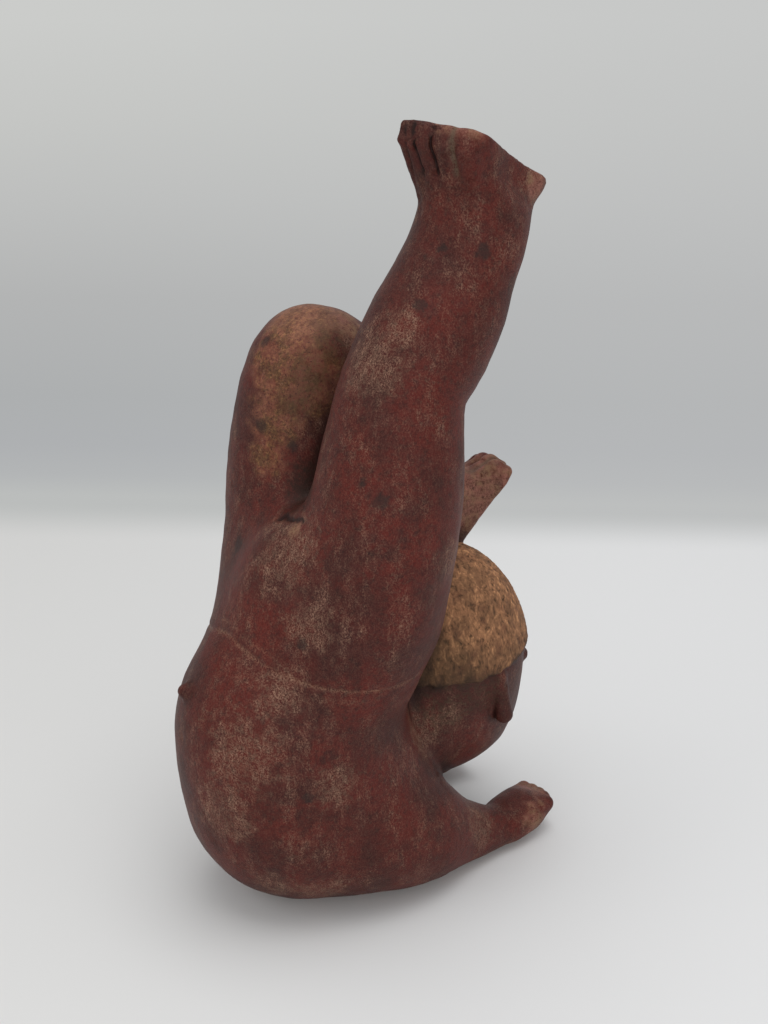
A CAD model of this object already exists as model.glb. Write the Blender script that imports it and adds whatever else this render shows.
"""A clay acrobat: a hollow pottery figure in dark red slip, resting on its chest with its legs in the air.

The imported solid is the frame. One fine mesh replaces it: the same solid remeshed, drawn on to the true
rounded form, and given the toes, belt line, combed hair and small marks of the maker's hand.

Forms are worked out in millimetres in the figure's own frame, with +X the way the face looks,
and turned into metres at the end.
"""

import math

import bmesh
import bpy
import numpy as np
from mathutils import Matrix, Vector, noise


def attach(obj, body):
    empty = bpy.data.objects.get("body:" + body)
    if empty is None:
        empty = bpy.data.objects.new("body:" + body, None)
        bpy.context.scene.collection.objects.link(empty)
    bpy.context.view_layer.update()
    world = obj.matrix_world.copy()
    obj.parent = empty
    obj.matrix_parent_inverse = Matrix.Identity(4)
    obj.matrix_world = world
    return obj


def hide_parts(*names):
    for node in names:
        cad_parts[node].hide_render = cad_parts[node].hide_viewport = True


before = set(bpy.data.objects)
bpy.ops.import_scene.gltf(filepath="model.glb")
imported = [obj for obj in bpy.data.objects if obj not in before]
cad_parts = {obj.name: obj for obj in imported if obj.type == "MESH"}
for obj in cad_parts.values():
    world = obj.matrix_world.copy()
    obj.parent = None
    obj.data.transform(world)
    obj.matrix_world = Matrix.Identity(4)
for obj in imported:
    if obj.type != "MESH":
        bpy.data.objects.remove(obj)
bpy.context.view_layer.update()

MM = 0.001

# Sizes that shape the whole figure, the same as the solid's.
HIP_HEIGHT = 112
BELT_HEIGHT = 110
BELT_SAG = 0.34
BELT_BEND = 4
TRUNK_HALF_WIDTH = 38
LEG_SPREAD = 28
THIGH_RADIUS = 25
KNEE_RADIUS = 22
CALF_RADIUS = 20.5
ANKLE_RADIUS = 16
FOOT_WIDTH = 28
TOE_WIDTHS = (0.26, 0.28, 0.24, 0.15, 0.07)
ARM_HEIGHT = 9
WRIST_RADIUS = 8
HAND_WIDTH = 21
FINGER_COUNT = 5
HEAD_CENTRE = (36, 75.5)
HEAD_HALF = (33, 32.5, 43.5)
HAIR_EDGE = 77
HAIR_SLOPE = 0.095
HAIR_THICKNESS = 1.8
EYE_SPREAD = 12.5
NAVEL = np.array([-69, 8, 88])
REST_SPOT = np.array([-18.0, 0.0, 0.0])

# How softly the big forms run into one another.
BODY_FILLET = 20
LEG_FILLET = 18
ARM_FILLET = 8

# How fine the mesh is before the detailed places are divided, and how deep the fine work goes.
MESH_STEP = 1.65
TOE_CUT_DEPTHS = (0.5, 1.1, 1.3, 0.9)
TOE_CUT_LENGTH = 14
TOE_CUT_RUN = 0.78
HAIR_DEPTH = 0.3
HAIR_LIFT = 0.1
BELT_DEPTH = 0.45
LID_DEPTH = 0.6
SEAM_DEPTH = 0.8
SEAM_HALF = 0.8
PIT_DEPTH = 0.35
DENT_DEPTH = 0.12
HOLLOW_REACH = 7
GROUND_REACH = 0.5


# Each form is a function from points to their distance outside the clay, in millimetres.

def length(start, end, start_radius, end_radius):
    """A straight length of limb: a cone with a ball at each end."""
    start = np.array(start, float)
    span = np.array(end, float) - start
    span2 = span @ span
    taper = start_radius - end_radius
    slope2 = span2 - taper * taper
    lean_share = np.sign(taper) * taper * taper

    def distance(p):
        q = p - start
        along = q @ span
        past = along - span2
        away = q * span2 - along[:, None] * span
        away2 = np.einsum("ij,ij->i", away, away)
        lean = lean_share * away2
        past2 = past * past * span2
        along2 = along * along * span2
        side = (np.sqrt(away2 * slope2 / span2) + along * taper) / span2 - start_radius
        near_ball = np.sqrt(away2 + along2) / span2 - start_radius
        far_ball = np.sqrt(away2 + past2) / span2 - end_radius
        d = np.where(np.sign(along) * slope2 * along2 < lean, near_ball, side)
        return np.where(np.sign(past) * slope2 * past2 > lean, far_ball, d)

    return distance


def egg(centre, half):
    """An egg with three half-lengths."""
    centre = np.array(centre, float)
    half = np.array(half, float)

    def distance(p):
        q = (p - centre) / half
        near = np.sqrt(np.einsum("ij,ij->i", q, q))
        steep = np.sqrt((q * q / (half * half)).sum(1))
        return near * (near - 1) / np.maximum(steep, 1e-9)

    return distance


def spline_point(points, at):
    """A point on the smooth path through the stations, whose knots lie a root of a chord apart."""
    last = len(points) - 1
    i = min(int(at), last - 1)
    w = at - i
    p1, p2 = points[i], points[i + 1]
    p0 = points[i - 1] if i > 0 else 2 * points[0] - points[1]
    p3 = points[i + 2] if i + 2 <= last else 2 * points[last] - points[last - 1]
    t0, t1, t2 = (math.sqrt(np.linalg.norm(b - a)) for a, b in ((p0, p1), (p1, p2), (p2, p3)))
    leave = ((p1 - p0) / t0 - (p2 - p0) / (t0 + t1) + (p2 - p1) / t1) * t1
    arrive = ((p2 - p1) / t1 - (p3 - p1) / (t1 + t2) + (p3 - p2) / t2) * t1
    c2 = -3 * p1 + 3 * p2 - 2 * leave - arrive
    c3 = 2 * p1 - 2 * p2 + leave + arrive
    return p1 + leave * w + c2 * w * w + c3 * w ** 3


def spline_value(values, at):
    """A value on the smooth curve through evenly spaced values."""
    last = len(values) - 1
    i = min(int(at), last - 1)
    w = at - i
    p0, p1, p2, p3 = (values[min(max(k, 0), last)] for k in (i - 1, i, i + 1, i + 2))
    v0, v1 = (p2 - p0) / 2, (p3 - p1) / 2
    return (2 * p1 - 2 * p2 + v0 + v1) * w ** 3 + (-3 * p1 + 3 * p2 - 2 * v0 - v1) * w * w + v0 * w + p1


def limb(stations):
    """A limb that swells and narrows smoothly through stations of (x, y, z, radius)."""
    points = [np.array(station[:3], float) for station in stations]
    radii = [station[3] for station in stations]
    rounds_each = 4
    count = rounds_each * (len(stations) - 1)
    rounds = []
    for i in range(count + 1):
        at = i / rounds_each
        rounds.append((spline_point(points, at), spline_value(radii, at)))
    parts = []
    for (start, start_radius), (end, end_radius) in zip(rounds, rounds[1:]):
        parts.append(length(start, end, start_radius, end_radius))

    def distance(p):
        d = parts[0](p)
        for part in parts[1:]:
            d = np.minimum(d, part(p))
        return d

    return distance


def blended(d, other, softness):
    """The nearer of two distances, eased where they are close."""
    h = np.maximum(softness - np.abs(d - other), 0) / softness
    return np.minimum(d, other) - h * h * softness / 4


def join(softness, *forms):
    """Forms joined, with a fillet of the given softness."""
    def distance(p):
        d = forms[0](p)
        for form in forms[1:]:
            d = blended(d, form(p), softness)
        return d

    return distance


def share(softness, one, two):
    """What two forms share, with the edge between them softened."""
    return lambda p: -blended(-one(p), -two(p), softness)


def cut(softness, form, cutter):
    """A form with another cut away from it."""
    return share(softness, form, lambda p: -cutter(p))


def beyond(point, normal):
    """Everything on the far side of a plane."""
    normal = np.array(normal, float)
    offset = normal @ np.array(point, float)
    return lambda p: offset - p @ normal


def within(centre, radius, form):
    """Far from a detail, the distance to a ball around it is near enough, and quicker."""
    clear = 25
    centre = np.array(centre, float)

    def distance(p):
        d = np.linalg.norm(p - centre, axis=1) - radius
        near = d <= clear
        if near.any():
            d[near] = form(p[near])
        return d

    return distance


def mirrored(softness, form):
    """A form on each side of the face, by a function from the side, -1 or 1."""
    return join(softness, form(-1), form(1))


def trunk():
    chest = egg((-20, 0, 34), (46, TRUNK_HALF_WIDTH + 1, 36.8))
    belly = egg((-32.5, 0, 67), (41.5, TRUNK_HALF_WIDTH, 47))
    hips = egg((-15, 0, HIP_HEIGHT), (33, TRUNK_HALF_WIDTH + 4, 30))
    mound = egg((-33, -4, HIP_HEIGHT + 15), (11, 10, 18))
    navel = length((-67, 8, 88), (-69.6, 8.4, 88.3), 2.6, 2)
    return join(2, join(BODY_FILLET, chest, belly, hips, mound), navel)


class Foot:
    """A foot at its ankle: its axes, its form, and where on it a point of the surface lies."""

    def __init__(self, ankle, toes, down, front, back, drop, width, thick, slant, arc):
        self.ankle = np.array(ankle, float)
        self.toes = np.array(toes, float) / np.linalg.norm(toes)
        down = np.array(down, float)
        down = down - (down @ self.toes) * self.toes
        self.down = down / np.linalg.norm(down)
        self.side = np.cross(self.toes, self.down)
        self.front, self.drop, self.width = front, drop, width
        self.slant, self.arc = slant, arc
        rim = width * 0.2
        toe_radius, toe_length = 3.8, 18
        block = []
        for side in (-1, 0, 1):
            instep = self.at(-2.5, side * 3, -6)
            heel = self.at(rim - back, side * (width * 0.46 - rim), drop - 1.5)
            behind = slant * (side + 1) / 2
            ball = self.at(front - rim - 1.5 - behind, side * (width * 0.49 - rim), drop - 1.5)
            block.append(length(heel, ball, rim, rim))
            block.append(length(instep, heel, thick, rim))
            block.append(length(instep, ball, thick, rim))
        ridges = []
        self.gaps = []
        edge = -0.5
        for part in TOE_WIDTHS:
            across = (edge + part / 2) * (width - 2)
            edge += part
            self.gaps.append(edge * (width - 2))
            radius = min(part * width / 2 + 0.9, toe_radius)
            reach = self.reach(across)
            tip = self.at(reach - radius, across, drop - 1)
            pad = self.at(reach - radius - 0.5, across, drop - 6)
            root = self.at(reach - toe_length, across * 0.9, drop * 0.12)
            ridges.append(join(1, length(tip, pad, radius, radius), length(pad, root, radius, radius)))
        self.gaps.pop()
        whole = join(1.5, join(6, *block), join(0.4, *ridges))
        sole = beyond(self.at(0, 0, drop), -self.down)
        self.form = within(ankle, 45, share(1.5, whole, sole))

    def at(self, along, across, below):
        return self.ankle + along * self.toes + across * self.side + below * self.down

    def reach(self, across):
        """How far the toe at a place across the foot reaches out from the ankle."""
        share = across / self.width
        return self.front - self.slant * (share + 0.5) + self.arc * (1 - (2 * share) ** 2)

    def tips(self, p):
        """How near each point is to the row of toe tips, from 0 to 1."""
        along, across, below = self.place(p)
        return soft(along - self.reach(across), -6, -2) * soft(below, self.drop - 4.5, self.drop - 1)

    def place(self, p):
        """How far along, across and below each point lies from the ankle."""
        q = p - self.ankle
        return q @ self.toes, q @ self.side, q @ self.down


right_foot = Foot(
    ankle=(26, -LEG_SPREAD, 248), toes=(-0.96, -0.28, 0.48), down=(0.35, 0.1, 1),
    front=31, back=18, drop=20.5, width=FOOT_WIDTH, thick=ANKLE_RADIUS - 4.5, slant=-3.5, arc=0)
left_foot = Foot(
    ankle=(52, LEG_SPREAD - 6, 127), toes=(0.61, -0.16, 0.79), down=(0.79, -0.24, -0.61),
    front=27.5, back=16, drop=13.3, width=FOOT_WIDTH - 5, thick=ANKLE_RADIUS - 8, slant=4, arc=3)
FEET = (right_foot, left_foot)


def straight_leg():
    y = -LEG_SPREAD
    leg = limb([
        (-18, y + 11, HIP_HEIGHT - 12, THIGH_RADIUS - 2),
        (-13, y + 1, HIP_HEIGHT + 22, THIGH_RADIUS + 1),
        (-8, y, 164, THIGH_RADIUS),
        (-2.5, y, 195, KNEE_RADIUS - 1),
        (7, y, 210, KNEE_RADIUS),
        (16, y, 225, CALF_RADIUS),
        (26, y, 248, ANKLE_RADIUS),
    ])
    return join(8, leg, right_foot.form)


def bent_leg():
    y = LEG_SPREAD
    leg = limb([
        (-15, y - 11, HIP_HEIGHT - 12, THIGH_RADIUS - 2),
        (-10, y - 1, HIP_HEIGHT + 22, THIGH_RADIUS + 1),
        (-8, y, 164, THIGH_RADIUS),
        (-2, y, 191.5, KNEE_RADIUS - 1),
        (14, y, 180, CALF_RADIUS),
        (34, y - 2, 155, CALF_RADIUS - 2),
        (52, y - 6, 127, ANKLE_RADIUS - 3),
    ])
    return join(6, leg, left_foot.form)


def arm(side, y):
    """An arm that reaches forward along the ground to a flat hand, y to one side."""
    reach = limb([
        (-14, side * 18, 30, 27),
        (4, side * 23, 22, 22),
        (22, side * y, 14, 14),
        (42, side * (y + 2), ARM_HEIGHT, WRIST_RADIUS + 0.5),
        (58, side * y, ARM_HEIGHT, WRIST_RADIUS),
    ])
    fingers = []
    for i in range(FINGER_COUNT):
        across = ((i + 0.5) / FINGER_COUNT - 0.5) * (HAND_WIDTH - 4)
        rounding = 3 * (1 - (2.4 * across / HAND_WIDTH) ** 2)
        root = (52, side * y + across * 0.5, ARM_HEIGHT)
        tip = (68 + rounding, side * (y - 3) + across, ARM_HEIGHT + 2)
        fingers.append(length(root, tip, 5, 3))
    return join(8, reach, join(0.5, *fingers))


def bare_head():
    x, z = HEAD_CENTRE
    skull = egg((x, 0, z), HEAD_HALF)
    jaw = egg((x + 5, 0, z - 22), (23, 20, 20))
    chin = egg((x + HEAD_HALF[0] - 13, 0, z - 35), (9, 10, 7))
    neck = length((4, 0, 48), (x - 2, 0, z - 20), 24, 20)
    return join(2, join(12, skull, jaw, neck, chin), features())


def hair_cap():
    """The bowl-cut cap of hair, whose lower edge wavers."""
    x, z = HEAD_CENTRE
    cap = egg((x, 0, z), [half + HAIR_THICKNESS for half in HEAD_HALF])
    level = beyond((0, 0, HAIR_EDGE), (-HAIR_SLOPE, 0, 1))

    def edge(p):
        return level(p) + 0.9 * np.sin(p[:, 1] * 0.55 + 1.5 * np.sin(p[:, 0] * 0.3)) * np.sin(p[:, 0] * 0.37)

    crown = share(1.5, cap, edge)
    return cut(1.5, crown, egg((x + HEAD_HALF[0] + 4, 0, z - 8), (20, 21, 22)))


def features():
    """Ears, brow, nose, eyes and mouth, placed by the plain rules of proportion."""
    x, z = HEAD_CENTRE
    depth, width, _ = HEAD_HALF
    front = x + depth
    ears = mirrored(1, lambda side: join(
        3,
        length((x + 4, side * (width - 1), z + 1), (x + 5, side * (width + 1), z - 13), 3, 3.6),
        length((x + 4, side * (width - 6), z - 1), (x + 4, side * (width - 8), z - 12), 4, 4)))
    brows = mirrored(1, lambda side: join(
        3,
        length((front - 1.5, side * 5, z + 4), (front - 4.5, side * 13, z + 6), 2.4, 2.4),
        length((front - 4.5, side * 13, z + 6), (front - 9.5, side * 20, z + 3), 2.4, 1.8)))
    eyes = mirrored(1, lambda side: egg((front - 5.2, side * EYE_SPREAD, z - 2), (4.6, 6.4, 3.4)))
    nose = join(
        3,
        length((front - 1.5, 0, z + 4), (front + 2.5, 0, z - 15), 2.4, 3.8),
        mirrored(1, lambda side: egg((front - 0.5, side * 4.2, z - 16.5), (3.4, 3, 2.8))))
    lips = []
    for middle, depth_in, corner, tuck, radius in ((-24.4, 2.6, 8.5, -26, 2.2), (-29, 2.8, 8, -27, 2.4)):
        lip = front - depth_in
        full = radius + 0.2
        lips.append(length((lip, -3, z + middle), (lip, 3, z + middle), full, full))
        for side in (-1, 1):
            lips.append(length(
                (lip, side * 3, z + middle), (lip - 2.6, side * corner, z + tuck), radius, 1.2))
    return within((x + 8, 0, z - 10), 45, join(1.5, ears, brows, eyes, nose, join(0.6, *lips)))


hair = hair_cap()
head = bare_head()


def figure():
    middle = trunk()
    lower = join(3, join(LEG_FILLET, middle, straight_leg()), join(LEG_FILLET, middle, bent_leg()))
    arms = join(ARM_FILLET, arm(-1, 25), arm(1, 31))
    return join(2.5, join(6, lower, arms), join(1, head, hair))


form = figure()


def slope(p, step=0.25):
    """The outward direction of the form at each point, and its distance there."""
    corners = np.array([(1, -1, -1), (-1, -1, 1), (-1, 1, -1), (1, 1, 1)], float)
    total = np.zeros_like(p)
    middle = np.zeros(len(p))
    for corner in corners:
        d = form(p + corner * step)
        total += corner * d[:, None]
        middle += d / len(corners)
    total /= len(corners) * step
    return total, middle


def settle(p, rounds):
    """Each point is moved down the form's slope, on to the surface itself. Gives the outward normals too."""
    least_steep, longest_move = 0.5, 1
    for _ in range(rounds):
        gradient, d = slope(p)
        steep = np.maximum(np.einsum("ij,ij->i", gradient, gradient), least_steep)
        move = np.clip(d / steep, -longest_move, longest_move)
        p = p - gradient * move[:, None]
    gradient, _ = slope(p)
    return p, gradient / np.linalg.norm(gradient, axis=1)[:, None]


def even_copy(node):
    """A copy of the solid in small even faces."""
    piece = bpy.data.objects.new("slipped_acrobat", node.data.copy())
    bpy.context.scene.collection.objects.link(piece)
    remesh = piece.modifiers.new("even faces", "REMESH")
    remesh.mode = "VOXEL"
    remesh.voxel_size = MESH_STEP * MM
    depsgraph = bpy.context.evaluated_depsgraph_get()
    even = bpy.data.meshes.new_from_object(piece.evaluated_get(depsgraph))
    piece.modifiers.clear()
    piece.data = even
    return piece


def points_of(mesh):
    flat = np.empty(len(mesh.vertices) * 3)
    mesh.vertices.foreach_get("co", flat)
    return flat.reshape(-1, 3) / MM + REST_SPOT


def put_points(mesh, p):
    mesh.vertices.foreach_set("co", ((p - REST_SPOT) * MM).ravel())
    mesh.update()


def soft(value, low, high):
    """Rises smoothly from 0 at low to 1 at high."""
    t = np.clip((value - low) / (high - low), 0, 1)
    return t * t * (3 - 2 * t)


def lumps(p, size, seed=0.0):
    """Smooth random lumps of about the given size, from -1 to 1."""
    return np.array([noise.noise(Vector(q)) for q in p / size + seed])


def line(offset, half):
    """The height of a drawn line, 1 in its middle, by the distance from it."""
    return np.exp(-(offset / half) ** 2)


def belt_offset(p):
    """How far above the belt line each point lies."""
    return p[:, 2] - BELT_HEIGHT + BELT_SAG * (np.hypot(p[:, 1], BELT_BEND) - BELT_BEND)


def belt_lines(p):
    """The belt's drawn lines, from 0 to 1: one round the waist, a faint one above and one below it."""
    off = belt_offset(p) + 0.5 * lumps(p, 9, 2.1)
    on_trunk = soft(head(p), 2, 5) * soft(25 - p[:, 0], 0, 4)
    on_front = soft(-46 - p[:, 0], 0, 6)
    on_flank = soft(-22 - p[:, 0], 0, 4) * soft(p[:, 0] + 46, 0, 5)
    pressed = 0.5 + 0.5 * soft(lumps(p, 7, 5.5), -0.3, 0.2)
    main = line(off, 0.65)
    above = on_front * line(off - 3.6, 0.6)
    below = on_flank * line(off + 4.4, 0.7)
    return on_trunk * pressed * (main + 0.5 * (above + below))


def toe_cuts(p, normal):
    """How deep the cuts between the toes are: from the sole's edge over the tips, each ending in a point."""
    cuts = np.zeros(len(p))
    for foot in FEET:
        along, across, below = foot.place(p)
        behind = foot.reach(across) - along
        run = foot.drop * TOE_CUT_RUN
        start = foot.drop - run
        near = soft(TOE_CUT_LENGTH - behind, 0, 4) * soft(below, start, start + 3)
        near = near * (normal @ foot.down < 0.6) * (np.abs(across) < foot.width)
        half = 0.42 + 0.3 * soft(below, foot.drop - 8, foot.drop)
        closing = 0.9 + 0.1 * soft(below, start, foot.drop)
        for gap, depth in zip(foot.gaps, TOE_CUT_DEPTHS):
            wander = 0.3 * np.sin(below * 0.45 + gap)
            cuts = np.maximum(cuts, depth * near * line(across - gap * closing - wander, half))
    return cuts


def silt(p):
    """The pale clay left in the shallow cut beside each big toe, from 0 to 1."""
    left_in = np.zeros(len(p))
    for foot in FEET:
        along, across, below = foot.place(p)
        behind = foot.reach(across) - along
        streak = line(across - foot.gaps[0] * 0.95, 1.1)
        streak = streak * soft(TOE_CUT_LENGTH - behind, 0, 3) * soft(below, foot.drop - 16, foot.drop - 12)
        left_in = np.maximum(left_in, streak * (np.abs(below) < foot.drop))
    return left_in


def eyelids(p):
    """The slit between the lids of each closed eye, from 0 to 1."""
    x, z = HEAD_CENTRE
    from_eye = np.abs(p[:, 1]) - EYE_SPREAD
    slit = line(p[:, 2] - z + 2.4 - 0.012 * from_eye ** 2, 0.55)
    return slit * soft(p[:, 0] - x, 20, 24) * soft(6 - np.abs(from_eye), 0, 1.5)


def thigh_seam(p, half):
    """The jagged seam above the belly where the left thigh was pressed on, from 0 to 1."""
    off = p[:, 2] - 148.4 + 0.24 * p[:, 1] + lumps(p, 3, 5.7)
    across = soft(7 - p[:, 1], 0, 9) * soft(p[:, 1] + 19, 0, 3)
    return line(off, half) * across * soft(-20 - p[:, 0], 0, 6)


def on_toes(p):
    """Whether each point is on the front of a foot, where the toes are."""
    chosen = np.zeros(len(p), bool)
    for foot in FEET:
        along, across, below = foot.place(p)
        in_length = (along > foot.front - 15) & (along < foot.front + 2)
        in_width = np.abs(across) < foot.width * 0.6
        in_depth = (below > -8) & (below < foot.drop + 1)
        chosen |= in_length & in_width & in_depth
    return chosen


def detailed(p):
    """Where the mesh is divided once: hair, face, hands, toes, belt line, navel and thigh seam."""
    on_hair = np.abs(hair(p)) < 1
    on_face = features()(p) < 1.5
    in_hands = (p[:, 0] > 56) & (p[:, 2] < 20)
    on_belt = (np.abs(belt_offset(p)) < 3) & (head(p) > 3)
    on_navel = np.linalg.norm(p - NAVEL, axis=1) < 6
    on_seam = thigh_seam(p, 3) > 0.05
    return on_hair | on_face | on_toes(p) | in_hands | on_belt | on_navel | on_seam


def divide(mesh, wanted):
    """Splits the faces whose middle is wanted in four."""
    work = bmesh.new()
    work.from_mesh(mesh)
    middles = np.array([face.calc_center_median() for face in work.faces]) / MM + REST_SPOT
    chosen = wanted(middles)
    edges = {edge for face, keep in zip(work.faces, chosen) if keep for edge in face.edges}
    bmesh.ops.subdivide_edges(work, edges=list(edges), cuts=1, use_grid_fill=True)
    work.to_mesh(mesh)
    work.free()


def blots(p, places, ragged, seed=6.2):
    """How strongly each point is marked, from 0 to 1, by blots with ragged edges round the places given."""
    edge = ragged * lumps(p, 3.2, seed)
    mark = np.zeros(len(p))
    for x, y, z, reach in places:
        away = np.linalg.norm(p - REST_SPOT - np.array([x, y, z]), axis=1) / reach
        mark = np.maximum(mark, 1 - soft(away + edge, 0.6, 1.35))
    return mark


def scattered(p, count, low, high, seed):
    """Blots of random size on random points of the surface."""
    pick = np.random.default_rng(seed)
    middles = p[pick.integers(0, len(p), count)] - REST_SPOT
    return [(*middle, reach) for middle, reach in zip(middles, pick.uniform(low, high, count))]


# Where marks lie, as x, y, z and reach in millimetres, with z up from the ground.
DARK_SPOTS = (
    (13, -40, 226, 2.7), (34, -45, 241, 2.9), (24, -37, 242, 2.2), (-7, -46, 166, 3.2), (-11, -41, 171, 1.9),
    (-11, 19, 175, 2.7), (-5, 9, 169, 2.2), (-23, 17, 134, 3.6), (-3, 28, 202, 2.5), (-27, -29, 114, 2.5),
    (-17, -34, 139, 1.9), (40, -42, 232, 2.0), (-30, -36, 60, 2.5),
)
WORN_PLACES = (
    (-1, -33, 207, 12), (8, -37, 219, 7), (19, -51, 141, 8), (27, -46, 130, 7), (-47, -23, 75, 14),
    (-36, -28, 97, 9), (-22, -30, 121, 9), (-22, -31, 14, 9), (-38, -26, 16, 9), (-24, -16, 143, 13),
    (-50, -15, 52, 11), (62, -37, 258, 8), (-20, -40, 62, 8), (47, -34, 19, 9), (80, 8, 131, 8),
    (27, -24, 61, 10), (38, -30, 66, 6),
)
RUBBED_PLACES = (
    (78, 10, 135, 18), (68, 12, 120, 14), (85, -21, 11, 8), (76, -31, 10, 6), (63, -37, 258, 4.5),
    (10, 24, 211, 12), (22, 18, 209, 9), (-19, -15, 148.5, 3),
)
OLIVE_PLACES = (
    (4, 9, 193, 8), (13, 11, 203, 7), (-2, 10, 184, 6), (33, -27, 84, 16), (42, -31, 76, 11),
    (35, -26, 67, 8), (51, -33, 72, 7),
)
OCHRE_PLACES = (
    (3, 17, 205, 15), (-3, 11, 192, 15), (-9, 13, 180, 11), (13, 25, 209, 12), (-13, 14, 165, 7),
    (4, 10, 197, 12), (-8, 24, 200, 9),
)
POCKET_PLACES = (
    (-9, -3, 154, 8), (-13, -12, 160, 7), (-4, 2, 158, 7),
)
BRIGHT_PLACES = (
    (37, -42, 252, 6), (-11, -36, 178, 10), (-12, -41, 92, 13), (-33, -35, 50, 10), (2, -54, 150, 12),
    (-14, 10, 150, 9), (-22, -38, 74, 8), (-30, -15, 118, 8),
)

# Each kind of mark's places, how ragged its edges are, and the seed of that raggedness.
MARKS = {
    "dark": (DARK_SPOTS, 0.35, 6.2),
    "pocket": (POCKET_PLACES, 0.6, 6.6),
    "worn": (WORN_PLACES, 0.7, 3.3),
    "ochre": (OCHRE_PLACES, 0.5, 5.1),
    "olive": (OLIVE_PLACES, 0.5, 7.7),
    "bright": (BRIGHT_PLACES, 0.8, 1.9),
}


def relief(p, normal):
    """How far the surface stands proud of the true form, in millimetres."""
    handwork = 0.3 * lumps(p, 15) + 0.12 * lumps(p, 5, 7.3)
    burnish = 0.07 * lumps(p * np.array([1, 1, 0.25]), 2.6, 8.8)
    height = handwork + burnish
    height = height - BELT_DEPTH * belt_lines(p) - LID_DEPTH * eyelids(p)
    height = height - toe_cuts(p, normal) - SEAM_DEPTH * thigh_seam(p, SEAM_HALF)
    height = height - PIT_DEPTH * blots(p, scattered(p, 160, 0.8, 1.5, 11), 0.3)
    height = height - DENT_DEPTH * blots(p, scattered(p, 60, 3, 6, 12), 0.6)
    return height


def hair_strokes(p):
    """Short combed strokes pressed into the hair: ridges at 1, the dark between them at -1."""
    swirl = np.stack([lumps(p, 8, 1.7), lumps(p, 8, 2.9), lumps(p, 8, 4.3)], axis=1)
    combed = (p + 2.5 * swirl) * np.array([1, 1, 0.42])
    ridge = 1 - 2.6 * np.abs(lumps(combed, 1.7, 4.4))
    return 0.7 * ridge + 0.6 * lumps(combed, 0.9, 9.1)


def hair_fringe(p):
    """Dark stains along the hair's lower edge, from 0 to 1."""
    above = p[:, 2] - HAIR_EDGE - HAIR_SLOPE * p[:, 0]
    stain = line(above + 1.5 * lumps(p, 5, 2.2), 2.6) * soft(lumps(p, 6, 9.9), -0.35, 0.15)
    return stain * (np.abs(hair(p)) < 6) * (head(p) < 2)


def paint(mesh, name, values):
    """Keeps a number for each point of the mesh, for the material to read."""
    layer = mesh.attributes.new(name, "FLOAT", "POINT")
    layer.data.foreach_set("value", values.astype(np.float32))


def slipped_acrobat():
    """The whole figure as one fine mesh, with what its material needs painted on it."""
    piece = even_copy(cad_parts["acrobat_figure"])
    mesh = piece.data
    p, _ = settle(points_of(mesh), 2)
    put_points(mesh, p)
    divide(mesh, detailed)
    divide(mesh, on_toes)
    p, normal = settle(points_of(mesh), 2)

    in_hair = soft(-hair(p) + 0.5 * lumps(p, 4, 3.0), -0.9, 0.1)
    strokes = hair_strokes(p)
    cuts = np.maximum(toe_cuts(p, normal), 0.8 * eyelids(p))
    cuts = np.maximum(cuts, 0.9 * thigh_seam(p, SEAM_HALF))
    toe_tips = on_toes(p) * np.maximum(right_foot.tips(p), left_foot.tips(p))
    paint(mesh, "hair", in_hair)
    paint(mesh, "strokes", strokes)
    paint(mesh, "fringe", hair_fringe(p))
    paint(mesh, "belt", belt_lines(p))
    paint(mesh, "hollow", 1 - form(p + normal * HOLLOW_REACH) / HOLLOW_REACH)
    paint(mesh, "cuts", cuts)
    paint(mesh, "silt", silt(p))
    paint(mesh, "stray", blots(p, scattered(p, 70, 1.2, 2.8, 21), 0.4))
    paint(mesh, "rubbed", np.maximum(toe_tips, blots(p, RUBBED_PLACES, 0.6, 4.7)))
    for name, (places, ragged, seed) in MARKS.items():
        paint(mesh, name, blots(p, places, ragged, seed))

    height = relief(p, normal) * (1 - in_hair) + (HAIR_DEPTH * strokes + HAIR_LIFT) * in_hair
    p = p + normal * height[:, None]
    p[:, 2] = np.where(p[:, 2] < GROUND_REACH, 0, p[:, 2])
    put_points(mesh, p)
    mesh.polygons.foreach_set("use_smooth", [True] * len(mesh.polygons))
    return piece


acrobat = slipped_acrobat()


def srgb(red, green, blue):
    """A screen colour, 0 to 255, as the linear light that a shader takes."""
    def linear(c):
        c /= 255
        return c / 12.92 if c <= 0.04045 else ((c + 0.055) / 1.055) ** 2.4
    return linear(red), linear(green), linear(blue)


class Wire:
    """A value in a material: a socket, with arithmetic that adds the Math nodes it needs."""

    def __init__(self, recipe, socket):
        self.recipe, self.socket = recipe, socket

    def math(self, operation, *others):
        return self.recipe.add("Math", {"operation": operation}, 0, **{
            f"_{i}": value for i, value in enumerate((self, *others))})

    def __add__(self, other):
        return self.math("ADD", other)

    __radd__ = __add__

    def __mul__(self, other):
        return self.math("MULTIPLY", other)

    __rmul__ = __mul__

    def __sub__(self, other):
        return self.math("SUBTRACT", other)

    def __rsub__(self, other):
        return (self * -1) + other

    def most(self, other):
        return self.math("MAXIMUM", other)


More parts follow.
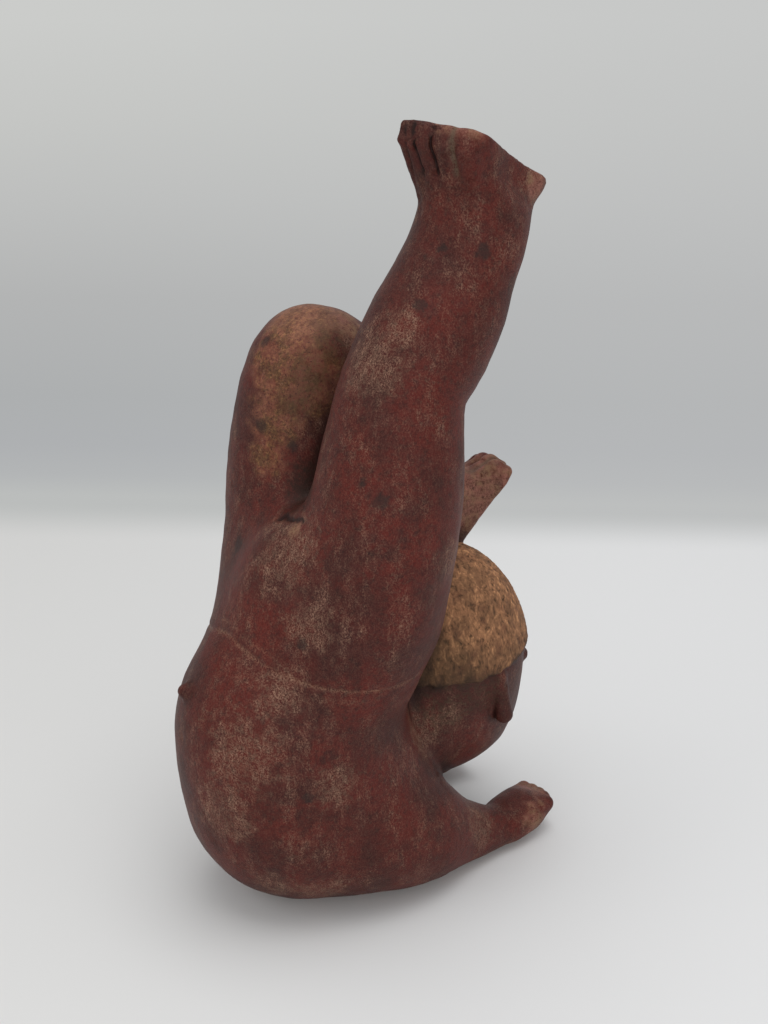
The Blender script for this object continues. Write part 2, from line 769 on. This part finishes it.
class Recipe:
    """A material under construction."""

    def __init__(self, name):
        self.material = bpy.data.materials.new(name)
        self.material.use_nodes = True
        self.nodes = self.material.node_tree.nodes
        self.links = self.material.node_tree.links
        self.nodes.clear()

    def feed(self, slot, value):
        if isinstance(value, Wire):
            self.links.new(value.socket, slot)
        elif hasattr(slot.default_value, "__len__") and len(slot.default_value) == 4 and len(value) == 3:
            slot.default_value = (*value, 1)
        else:
            slot.default_value = value

    def add(self, kind, settings, output, **inputs):
        """A node by its type, its settings and its inputs. An input is named, or numbered as _0, _1."""
        node = self.nodes.new("ShaderNode" + kind)
        for key, value in settings.items():
            if key == "stops":
                self.set_stops(node.color_ramp.elements, value)
            else:
                setattr(node, key, value)
        for key, value in inputs.items():
            slot = node.inputs[int(key[1:])] if key[0] == "_" else node.inputs[key.replace("_", " ")]
            self.feed(slot, value)
        return Wire(self, node.outputs[output]) if node.outputs else None

    def set_stops(self, elements, stops):
        """A ramp's stops, each a place on it and a screen colour."""
        while len(elements) < len(stops):
            elements.new(0.5)
        for element, (at, tone) in zip(elements, stops):
            element.position = at
            element.color = (*srgb(*tone), 1)

    def mix(self, share, one, two):
        """Two colours mixed; a share of 1 is all the second."""
        return self.add("Mix", {"data_type": "RGBA", "clamp_factor": True}, 2, _0=share, _6=one, _7=two)

    def noise(self, at, scale, detail=2, roughness=0.5, distortion=0):
        return self.add(
            "TexNoise", {}, 0, Vector=at, Scale=scale,
            Detail=detail, Roughness=roughness, Distortion=distortion)

    def rise(self, value, low, high):
        """Rises smoothly from 0 where the value is low to 1 where it is high."""
        return self.add(
            "MapRange", {"interpolation_type": "SMOOTHSTEP"}, 0, Value=value, From_Min=low, From_Max=high)

    def strands(self, at, scale):
        """Thin curling lines, along the places where a noise passes its middle value."""
        off = (self.noise(at, scale, 2, 0.5, 0.9) - 0.5).math("ABSOLUTE")
        return self.rise(off, 0.056, 0.012)

    def painted(self, name):
        return self.add("Attribute", {"attribute_type": "GEOMETRY", "attribute_name": name}, 2)

    def along(self, at, direction):
        return self.add("VectorMath", {"operation": "DOT_PRODUCT"}, 1, _0=at, _1=direction)

    def stretched(self, at, by):
        return self.add("VectorMath", {"operation": "MULTIPLY"}, 0, _0=at, _1=by)

    def turned(self, at, angles):
        return self.add("VectorRotate", {"rotation_type": "EULER_XYZ"}, 0, Vector=at, Rotation=angles)

    def surface(self, **inputs):
        """Ends the material with a shader of the given inputs."""
        shader = self.add("BsdfPrincipled", {}, 0, **inputs)
        self.add("OutputMaterial", {}, 0, Surface=shader)
        return self.material


# The colours of the slip, of the clay under it, of what has stained them, and of the hair.
DARK_SLIP = srgb(62, 25, 21)
RED_SLIP = srgb(88, 27, 20)
BRIGHT_SLIP = srgb(102, 29, 20)
DULL_SLIP = srgb(62, 36, 33)
BURNT_SLIP = srgb(38, 17, 15)
HAZY_CLAY = srgb(104, 72, 60)
DUSTY_CLAY = srgb(122, 96, 78)
SCRATCHED_CLAY = srgb(154, 118, 98)
LIGHT_GRAIN = srgb(118, 84, 68)
DARK_GRAIN = srgb(30, 16, 14)
GROUND_RIM_CLAY = srgb(140, 100, 74)
ROSY_CLAY = srgb(150, 98, 84)
SANDY_CLAY = srgb(138, 104, 78)
BROWN_OCHRE = srgb(104, 74, 46)
RED_OCHRE = srgb(142, 88, 68)
PALE_OCHRE = srgb(164, 118, 78)
OCHRE_PITS = srgb(46, 32, 25)
OLIVE_STAIN = srgb(66, 48, 34)
BELT_CLAY = srgb(150, 114, 92)
BLACK_STAIN = srgb(42, 32, 29)
HOLLOW_DIRT = srgb(34, 19, 16)
POCKET_DIRT = srgb(46, 28, 20)
CUT_DIRT = srgb(30, 17, 15)
PALE_SILT = srgb(104, 86, 70)
HAIR_GROOVE = srgb(66, 47, 33)
HAIR_TAN = srgb(152, 108, 77)
HAIR_RIDGE = srgb(206, 152, 108)
HAIR_CLOUD = srgb(90, 66, 48)
HAIR_OLIVE = srgb(60, 48, 32)
HAIR_LOW_DOWN = srgb(66, 48, 35)
HAIR_HOLLOW = srgb(52, 38, 29)
FRINGE_STAIN = srgb(38, 28, 26)


class ClayRecipe(Recipe):
    """The material of the whole figure, with the patterns that its layers share, in waves per millimetre."""

    def __init__(self):
        super().__init__("slipped_clay")
        place = self.add("TexCoord", {}, 3)
        self.mm = self.add("VectorMath", {"operation": "SCALE"}, 0, _0=place, Scale=1 / MM)
        self.up = self.add("SeparateXYZ", {}, 2, Vector=self.mm)
        self.cloud = self.noise(self.mm, 0.13, 5, 0.65)
        self.mottle = self.noise(self.mm, 0.5, 5, 0.7)
        self.speckle = self.noise(self.mm, 1.05, 4, 0.75)
        self.grain = self.noise(self.mm, 1.9, 3, 0.7)
        self.hollow = self.painted("hollow")


def slip(m):
    """Red slip that goes from brown to bright red."""
    wide = m.noise(m.mm, 0.035, 3, 0.6)
    colour = m.mix(m.rise(wide + m.cloud * 0.5, 0.6, 0.92), DARK_SLIP, RED_SLIP)
    colour = m.mix(m.painted("bright") * m.rise(m.cloud, 0.35, 0.6) * 0.55, colour, BRIGHT_SLIP)
    colour = m.mix(m.rise(m.cloud, 0.5, 0.7) * 0.5, colour, DULL_SLIP)
    return m.mix(m.rise(m.mottle, 0.45, 0.7) * 0.6, colour, BURNT_SLIP)


def scratches(m):
    """Fine scratches that cross one another three ways, from 0 to 1."""
    upright = m.stretched(m.mm, (1, 1, 0.25))
    leaning = m.stretched(m.turned(m.mm, (0.55, 0.35, 0.4)), (1, 1, 0.3))
    falling = m.stretched(m.turned(m.mm, (-0.5, -0.3, 0.2)), (1, 1, 0.3))
    crossing = m.strands(upright, 0.95).most(m.strands(leaning, 0.85)).most(m.strands(falling, 0.9) * 0.7)
    return crossing * m.rise(m.grain, 0.35, 0.65)


def wear(m, worn):
    """How worn the slip is: patches with ragged edges, drawn out into upright streaks."""
    patch = m.noise(m.stretched(m.mm, (1, 1, 0.5)), 0.13, 6, 0.75)
    streak = m.rise(m.noise(m.stretched(m.mm, (1, 1, 0.25)), 0.42, 3, 0.6), 0.42, 0.62)
    return m.rise(patch + worn * 0.16, 0.43, 0.78) * (0.45 + 0.7 * streak)


def ochre_clay(m):
    """The speckled ochre of the left leg, where the slip is gone."""
    colour = m.mix(m.rise(m.cloud, 0.42, 0.56), BROWN_OCHRE, RED_OCHRE)
    colour = m.mix(m.rise(m.speckle, 0.52, 0.62) * 0.8, colour, PALE_OCHRE)
    return m.mix(m.rise(1 - m.speckle, 0.54, 0.64) * 0.85, colour, OCHRE_PITS)


def worn_skin(m, scratched, patch, worn):
    """The slip, and the clay that shows through it."""
    mottled = m.mottle + m.grain * 0.5
    skin = slip(m)
    skin = m.mix(patch * m.rise(m.mottle + m.grain * 0.6, 0.66, 1.0) * 0.3, skin, HAZY_CLAY)
    skin = m.mix(worn * m.rise(mottled, 0.6, 1.0) * 0.32, skin, DUSTY_CLAY)
    skin = m.mix(scratched * (patch * 0.85 + 0.12), skin, SCRATCHED_CLAY)
    skin = m.mix(m.rise(m.grain, 0.6, 0.75) * 0.25, skin, LIGHT_GRAIN)
    skin = m.mix(m.rise(0.5 - m.grain, 0.08, 0.16) * 0.5, skin, DARK_GRAIN)
    skin = m.mix(m.rise(m.up, 6, 2) * m.rise(mottled, 0.6, 0.85) * 0.6, skin, GROUND_RIM_CLAY)
    rubbed = m.painted("rubbed") * m.rise(m.mottle + m.grain * 0.4, 0.45, 0.85)
    skin = m.mix(rubbed * 0.8, skin, m.mix(m.rise(m.cloud, 0.4, 0.6), ROSY_CLAY, SANDY_CLAY))
    ochre = m.painted("ochre") * (0.3 + m.rise(m.mottle, 0.36, 0.64) * 0.45)
    return m.mix(ochre, skin, ochre_clay(m))


def stained(m, skin):
    """The skin with its stains, its belt line and the dirt in its hollows and cuts."""
    speckled = m.speckle + m.mottle
    skin = m.mix(m.painted("olive") * m.rise(speckled, 0.85, 1.15) * 0.6, skin, OLIVE_STAIN)
    skin = m.mix(m.painted("belt") * m.rise(m.grain, 0.38, 0.62) * 0.62, skin, BELT_CLAY)
    blot = m.painted("dark").most(m.painted("stray") * 0.6) + (m.mottle - 0.5) * 0.9
    skin = m.mix(m.rise(blot, 0.3, 1.05) * 0.65, skin, BLACK_STAIN)
    skin = m.mix(m.rise(m.hollow, 0.2, 0.7) * 0.7, skin, HOLLOW_DIRT)
    skin = m.mix(m.painted("pocket") * m.rise(speckled, 0.75, 1.05) * 0.75, skin, POCKET_DIRT)
    skin = m.mix(m.rise(m.painted("cuts"), 0.15, 0.9) * 0.85, skin, CUT_DIRT)
    return m.mix(m.painted("silt") * m.rise(m.mottle + m.grain, 0.75, 1.1) * 0.75, skin, PALE_SILT)


def combing(m):
    """The hair's strokes: low in the grooves, high on the ridges."""
    combed = m.noise(m.stretched(m.turned(m.mm, (0.1, 0.2, 0)), (1, 1, 0.4)), 0.55, 3, 0.6, 1.2)
    crossed = m.noise(m.stretched(m.turned(m.mm, (0.9, -0.5, 0.3)), (1, 1, 0.4)), 0.6, 3, 0.6, 0.8)
    return m.painted("strokes") * 0.25 + (combed - 0.5) * 2.6 + (crossed - 0.5) * 2


def tan_hair(m, strokes):
    """Tan-brown hair, darker low down and in its hollows."""
    colour = m.mix(m.rise(strokes, -0.75, 0.25), HAIR_GROOVE, HAIR_TAN)
    colour = m.mix(m.rise(strokes, 0.15, 0.85), colour, HAIR_RIDGE)
    colour = m.mix(m.rise(m.cloud, 0.42, 0.62) * 0.42, colour, HAIR_CLOUD)
    colour = m.mix(m.painted("olive") * 0.5, colour, HAIR_OLIVE)
    colour = m.mix(m.rise(m.up, 98, 76) * 0.5, colour, HAIR_LOW_DOWN)
    return m.mix(m.rise(m.hollow, 0.15, 0.7) * 0.55, colour, HAIR_HOLLOW)


def slipped_clay():
    """Dark red slip, burnished, worn through to tan clay in scratchy patches, with tan-brown hair."""
    m = ClayRecipe()
    worn = m.painted("worn")
    in_hair = m.painted("hair")
    scratched = scratches(m)
    patch = wear(m, worn)
    strokes = combing(m)
    skin = stained(m, worn_skin(m, scratched, patch, worn))
    colour = m.mix(in_hair, skin, tan_hair(m, strokes))
    colour = m.mix(m.painted("fringe") * 0.8, colour, FRINGE_STAIN)

    bare = scratched * patch
    roughness = 0.5 + bare * 0.15 + in_hair * 0.25
    height = bare * 0.3 + m.grain * 0.8 + m.mottle * 0.6 + strokes * in_hair * 0.5
    bump = m.add("Bump", {}, 0, Strength=0.55, Distance=0.4 * MM, Height=height)
    return m.surface(Base_Color=colour, Roughness=roughness, Specular_IOR_Level=0.18, Normal=bump)


acrobat.data.materials.clear()
acrobat.data.materials.append(slipped_clay())
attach(acrobat, "root")
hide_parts("acrobat_figure")


# The camera stands to the figure's right and front, and looks a little down on it. Sizes are in metres.
TARGET = Vector((0.028, 0.0, 0.14))
CAMERA_AZIMUTH = math.radians(-36)
CAMERA_ELEVATION = math.radians(21)
CAMERA_DISTANCE = 0.543
PHOTO_HEIGHT = 1024
FOCAL_LENGTH_IN_PIXELS = 1500
SENSOR_HEIGHT = 36

# The paper under the figure, and the greys that it takes on as it goes back, by how far back it is.
PAPER_REACH = 12
PAPER_HEIGHT = 0.335
PAPER_SETBACK = 0.49
PAPER_SKEW = 0.047
PAPER_GREYS = (
    (0.05, (203, 204, 202)), (0.111, (197, 198, 196)), (0.163, (190, 191, 190)), (0.23, (179, 180, 180)),
    (0.30, (173, 175, 176)), (0.337, (174, 176, 178)), (0.36, (179, 181, 182)), (0.375, (187, 189, 188)))
PAPER_LEFT = (0.715, 0.715, 0.705)
PAPER_RIGHT = (0.79, 0.795, 0.8)
FAR_RIGHT_GREY = srgb(192, 193, 194)
BLACK = (0, 0, 0)

LIGHT_AIM = Vector((0, 0, 0.12))
ROOM_LIGHT = 0.55

toward_camera = Vector((
    math.sin(CAMERA_AZIMUTH) * math.cos(CAMERA_ELEVATION),
    -math.cos(CAMERA_AZIMUTH) * math.cos(CAMERA_ELEVATION),
    math.sin(CAMERA_ELEVATION)))


def aim(thing, target):
    thing.rotation_euler = (target - thing.location).to_track_quat("-Z", "Y").to_euler()


camera_data = bpy.data.cameras.new("camera")
camera_data.lens = FOCAL_LENGTH_IN_PIXELS / PHOTO_HEIGHT * SENSOR_HEIGHT
camera = bpy.data.objects.new("camera", camera_data)
camera.location = TARGET + toward_camera * CAMERA_DISTANCE
aim(camera, TARGET)
bpy.context.scene.collection.objects.link(camera)
bpy.context.scene.camera = camera


def pale_paper():
    """White paper that turns to soft greys far behind the figure, closer together the farther back."""
    ahead = Vector((-math.sin(CAMERA_AZIMUTH), math.cos(CAMERA_AZIMUTH), 0))
    right = Vector((math.cos(CAMERA_AZIMUTH), math.sin(CAMERA_AZIMUTH), 0))
    m = Recipe("pale_paper")
    place = m.add("TexCoord", {}, 3)
    away = m.along(place, ahead + PAPER_SKEW * right)
    across = m.along(place, right)
    steep = PAPER_HEIGHT * (away + PAPER_SETBACK).math("POWER", -1)
    greys = m.add("ValToRGB", {"stops": PAPER_GREYS}, 0, Fac=steep)
    greys = m.mix(m.rise(across * steep, -0.09, 0.09) * 0.4, greys, FAR_RIGHT_GREY)
    white = m.mix(m.rise(across, -0.25, 0.2), PAPER_LEFT, PAPER_RIGHT)
    far = m.rise(away, 0.325, 0.39)
    return m.surface(
        Base_Color=m.mix(far, white, BLACK), Roughness=0.9, Specular_IOR_Level=0,
        Emission_Color=m.mix(far, BLACK, greys), Emission_Strength=1)


def floor():
    """A wide pale table."""
    mesh = bpy.data.meshes.new("pale_floor")
    corners = [(x * PAPER_REACH, y * PAPER_REACH, 0) for x, y in ((-1, -1), (1, -1), (1, 1), (-1, 1))]
    mesh.from_pydata(corners, [], [(0, 1, 2, 3)])
    mesh.materials.append(pale_paper())
    piece = bpy.data.objects.new("pale_floor", mesh)
    bpy.context.scene.collection.objects.link(piece)


def softbox(name, place, size, watts):
    data = bpy.data.lights.new(name, "AREA")
    data.shape = "RECTANGLE"
    data.size, data.size_y = size
    data.energy = watts
    light = bpy.data.objects.new(name, data)
    light.location = place
    aim(light, LIGHT_AIM)
    bpy.context.scene.collection.objects.link(light)


floor()
softbox("top light", (0.06, -0.12, 1.5), (1.15, 1.15), 8.8)
softbox("left light", (-0.8, 0.1, 0.5), (0.6, 0.8), 1.0)
softbox("front light", (-0.35, -0.8, 0.36), (0.9, 0.5), 1.75)

world = bpy.data.worlds.new("studio")
world.use_nodes = True
background = world.node_tree.nodes["Background"]
background.inputs["Color"].default_value = (1, 1, 1, 1)
background.inputs["Strength"].default_value = ROOM_LIGHT
bpy.context.scene.world = world
bpy.context.scene.view_settings.view_transform = "Standard"
